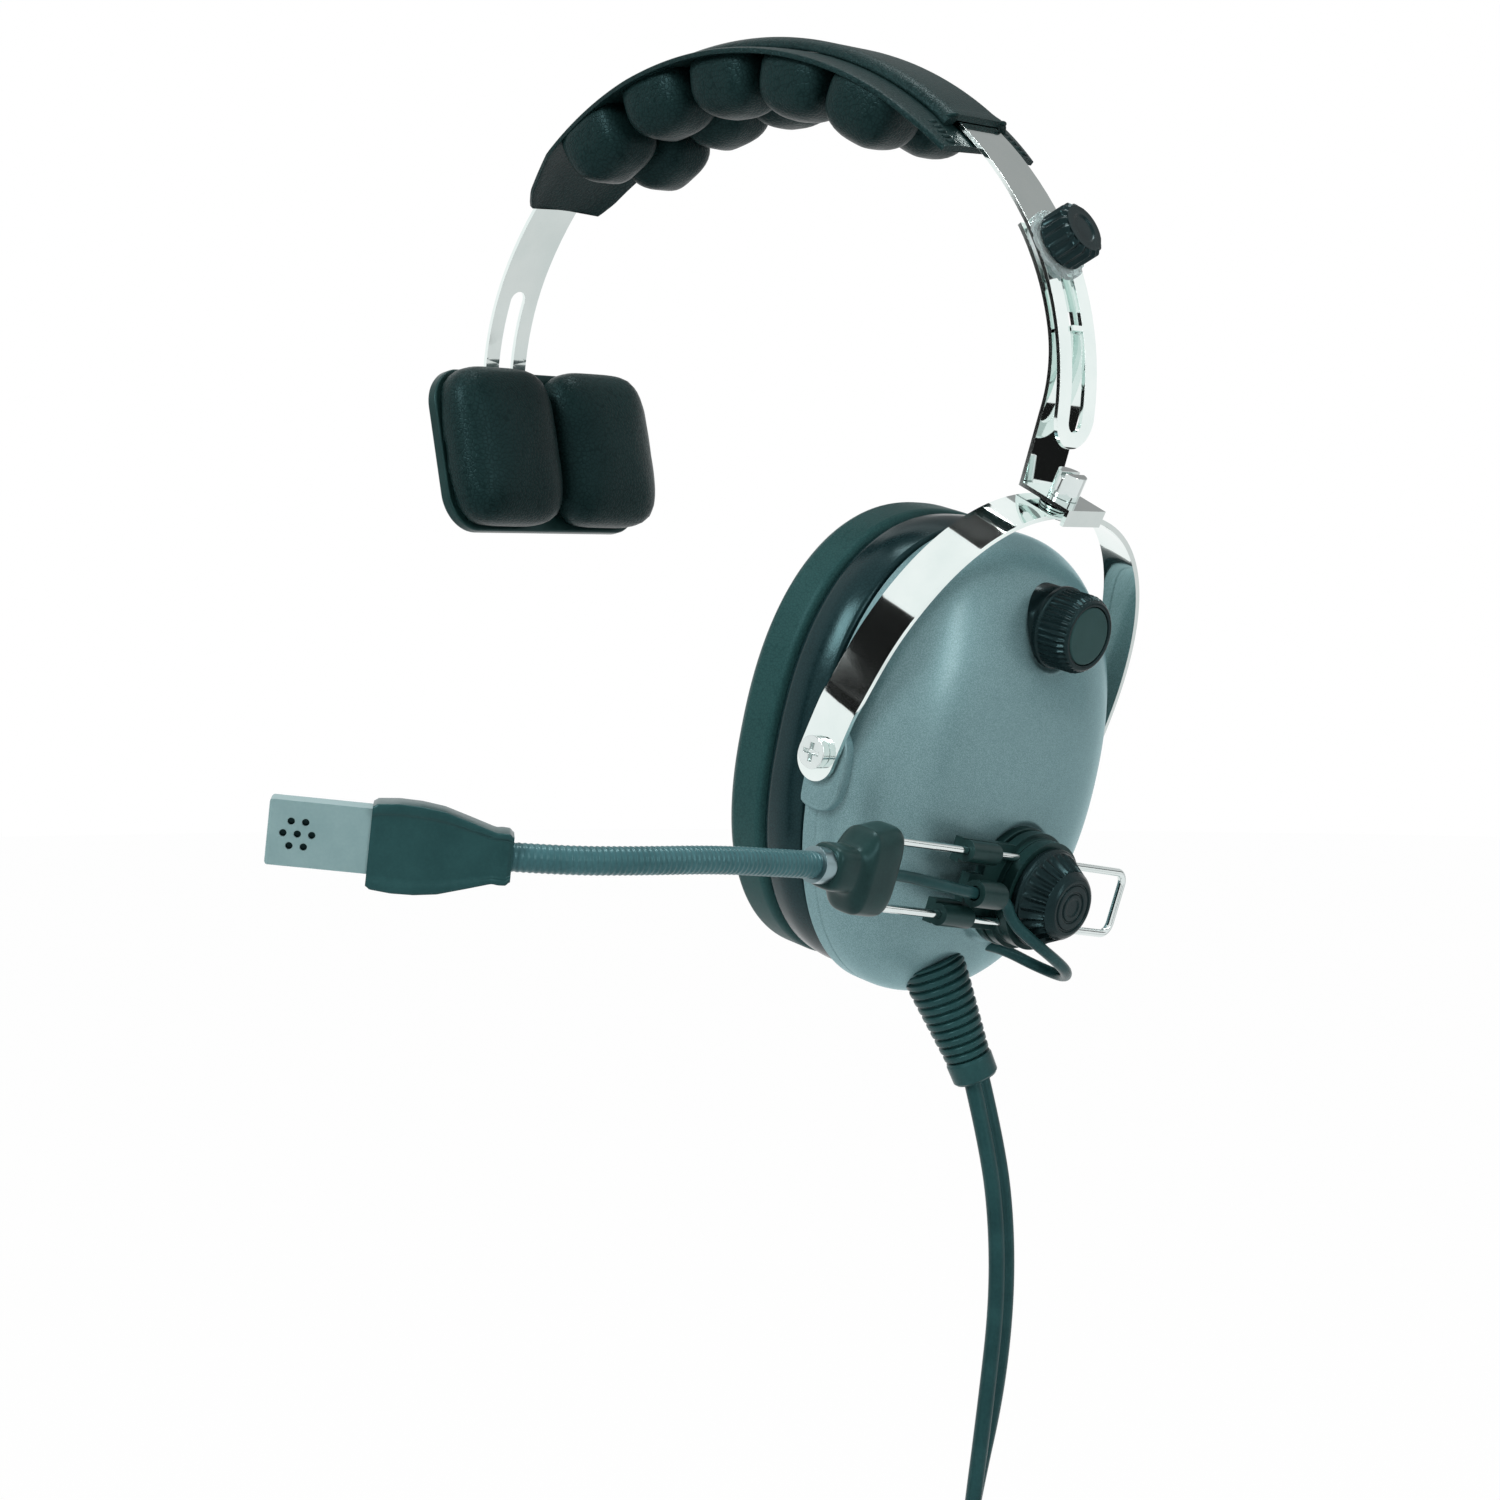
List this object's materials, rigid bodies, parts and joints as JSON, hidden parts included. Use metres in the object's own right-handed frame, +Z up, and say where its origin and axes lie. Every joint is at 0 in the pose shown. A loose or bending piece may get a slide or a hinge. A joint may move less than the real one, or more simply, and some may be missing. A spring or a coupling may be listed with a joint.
{
  "type": "aviation headset",
  "caption": "Single-ear aviation headset: adjustable spring headband with padded crown and temple pad, dome earphone in a swivelling yoke, sliding boom microphone and twin cord with plugs.",
  "frame": {"origin": "underside of the crown pad's cushions at the middle of the band, where the pad rests on the head", "axes": "+Z up, +X towards the earphone side (wearer's left ear), -Y towards the wearer's front"},
  "size_m": [0.2371, 0.2573, 0.6549],
  "materials": {
    "spring_strap": "mirror chrome plate on spring steel",
    "bright_fittings": "bright nickel-chrome plate on small turned and bent parts",
    "pad_vinyl": "satin black vinyl skin with a fine leather grain over foam",
    "black_plastic": "fine-textured black moulded plastic",
    "black_knob": "black moulded plastic, semi-gloss, fine ribs",
    "knob_cap": "dark grey satin disc",
    "clear_plastic": "clear moulded plastic",
    "nylon_liner": "natural nylon, satin",
    "cup_shell": "metallic blue-grey paint under gloss lacquer",
    "seal_vinyl": "glossy black vinyl over gel and foam",
    "foam": "open-cell dark grey foam",
    "driver_steel": "pressed steel, satin",
    "driver_cone": "pressed paper cone, matte",
    "brass_parts": "turned brass, satin",
    "alloy_parts": "turned aluminium alloy, satin",
    "black_rubber": "matte black rubber, slightly shiny where worn",
    "mic_shell": "mid grey moulded plastic, satin",
    "cord_jacket": "smooth satin black cable jacket"
  },
  "bodies": {
    "headband": {"upper_band": "spring_strap", "head_pad_cover": "pad_vinyl", "pad_cells": "pad_vinyl"},
    "temple_carrier": {"temple_stud": "bright_fittings"},
    "temple_pad": {"temple_plate": "black_plastic", "temple_cushions": "pad_vinyl"},
    "temple_nut": {"temple_knob": "black_knob"},
    "adjuster": {"lower_strap": "spring_strap", "adjuster_stud": "bright_fittings", "adjuster_saddle": "clear_plastic", "adjuster_liner": "nylon_liner"},
    "adjuster_nut": {"adjuster_knob": "black_knob"},
    "stirrup": {"yoke": "spring_strap", "swivel_bolt": "bright_fittings", "swivel_cap": "bright_fittings", "swivel_washer": "bright_fittings"},
    "cup": {"dome_shell": "cup_shell", "rim_shell": "cup_shell", "pivot_inserts": "brass_parts", "pivot_screws": "bright_fittings", "ear_seal": "seal_vinyl", "ear_foam": "foam", "baffle_plate": "black_plastic", "speaker_frame": "driver_steel", "speaker_magnet": "driver_steel", "speaker_cone": "driver_cone", "damping_block": "foam", "case_screws": "driver_steel", "volume_pot": "alloy_parts", "pot_nut": "brass_parts", "swivel_base": "black_plastic", "friction_disc": "black_rubber", "boom_bolt": "driver_steel", "mic_lead_loop": "cord_jacket", "strain_relief": "black_rubber", "cord_drop": "cord_jacket", "cord_coil": "cord_jacket", "cord_end": "cord_jacket", "cord_splitter": "black_rubber", "tail_phones": "cord_jacket", "tail_mic": "cord_jacket", "plug_handles": "black_plastic", "plug_pins": "brass_parts"},
    "volume_dial": {"volume_shaft": "alloy_parts", "volume_knob": "black_knob", "volume_knob_cap": "knob_cap"},
    "boom_clamp": {"boom_carrier": "black_plastic", "boom_jaw": "black_plastic"},
    "clamp_nut": {"lock_knob": "black_knob"},
    "boom": {"boom_rods": "bright_fittings", "boom_block": "black_plastic", "boom_ferrule": "bright_fittings", "mic_lead_front": "cord_jacket"},
    "neck_1": {"gooseneck_1": "black_rubber"},
    "neck_2": {"gooseneck_2": "black_rubber"},
    "microphone": {"gooseneck_3": "black_rubber", "mic_boot": "black_rubber", "mic_case_outer": "mic_shell", "mic_case_inner": "mic_shell", "mic_capsule": "alloy_parts"}
  },
  "joints": [
    {"name": "temple_slide", "type": "hinge", "parent": "headband", "child": "temple_carrier", "pos_m": [-0.02198, 0, -0.06526], "axis": [0, 1, 0], "range_deg": [-5.5, 29.5]},
    {"name": "temple_swivel", "type": "hinge", "parent": "temple_carrier", "child": "temple_pad", "pos_m": [-0.09155, 0, -0.07878], "axis": [-0.9816, 0, -0.1908], "range_deg": [-30, 30]},
    {"name": "temple_knob_turn", "type": "hinge", "parent": "temple_carrier", "child": "temple_nut", "pos_m": [-0.09155, 0, -0.07878], "axis": [-0.9816, 0, -0.1908], "range_deg": [-180, 180]},
    {"name": "strap_slide", "type": "hinge", "parent": "headband", "child": "adjuster", "pos_m": [0.02198, 0, -0.06526], "axis": [0, 1, 0], "range_deg": [-2, 16.5]},
    {"name": "adjuster_knob_turn", "type": "hinge", "parent": "adjuster", "child": "adjuster_nut", "pos_m": [0.08636, 0, -0.03564], "axis": [0.9085, 0, 0.4179], "range_deg": [-180, 180]},
    {"name": "yoke_swivel", "type": "hinge", "parent": "adjuster", "child": "stirrup", "pos_m": [0.08888, 0, -0.09412], "axis": [0.4602, 0, 0.8878], "range_deg": [-5.5, 12]},
    {"name": "cup_tilt", "type": "hinge", "parent": "stirrup", "child": "cup", "pos_m": [0.058, 0, -0.15369], "axis": [0.0496, 0.9984, -0.0257], "range_deg": [-14, 14]},
    {"name": "volume_turn", "type": "hinge", "parent": "cup", "child": "volume_dial", "pos_m": [0.08614, 0.00187, -0.12397], "axis": [0.971, -0.0542, -0.2327], "range_deg": [-150, 150]},
    {"name": "boom_swivel", "type": "hinge", "parent": "cup", "child": "boom_clamp", "pos_m": [0.08093, 0.00021, -0.18698], "axis": [0.971, -0.0542, -0.2327], "range_deg": [-42, 60], "deforming": ["mic_lead_loop"]},
    {"name": "clamp_knob_turn", "type": "hinge", "parent": "boom_clamp", "child": "clamp_nut", "pos_m": [0.08093, 0.00021, -0.18698], "axis": [0.971, -0.0542, -0.2327], "range_deg": [-180, 180]},
    {"name": "boom_slide", "type": "slide", "parent": "boom_clamp", "child": "boom", "axis": [0.0195, 0.9886, -0.149], "range_m": [-0.017, 0.02], "deforming": ["mic_lead_front"]},
    {"name": "neck_bend_1", "type": "hinge", "parent": "boom", "child": "neck_1", "pos_m": [0.07931, -0.08185, -0.17461], "axis": [0.2382, 0.1402, 0.9611], "range_deg": [-18, 18]},
    {"name": "neck_bend_2", "type": "hinge", "parent": "neck_1", "child": "neck_2", "pos_m": [0.07711, -0.10572, -0.17225], "axis": [0.2382, 0.1402, 0.9611], "range_deg": [-18, 18]},
    {"name": "neck_bend_3", "type": "hinge", "parent": "neck_2", "child": "microphone", "pos_m": [0.0721, -0.1317, -0.17075], "axis": [0.2382, 0.1402, 0.9611], "range_deg": [-18, 18]}
  ],
  "couplings": [
    {"joint": "neck_bend_2", "follows": "neck_bend_1", "ratio": 1},
    {"joint": "neck_bend_3", "follows": "neck_bend_1", "ratio": 1}
  ]
}
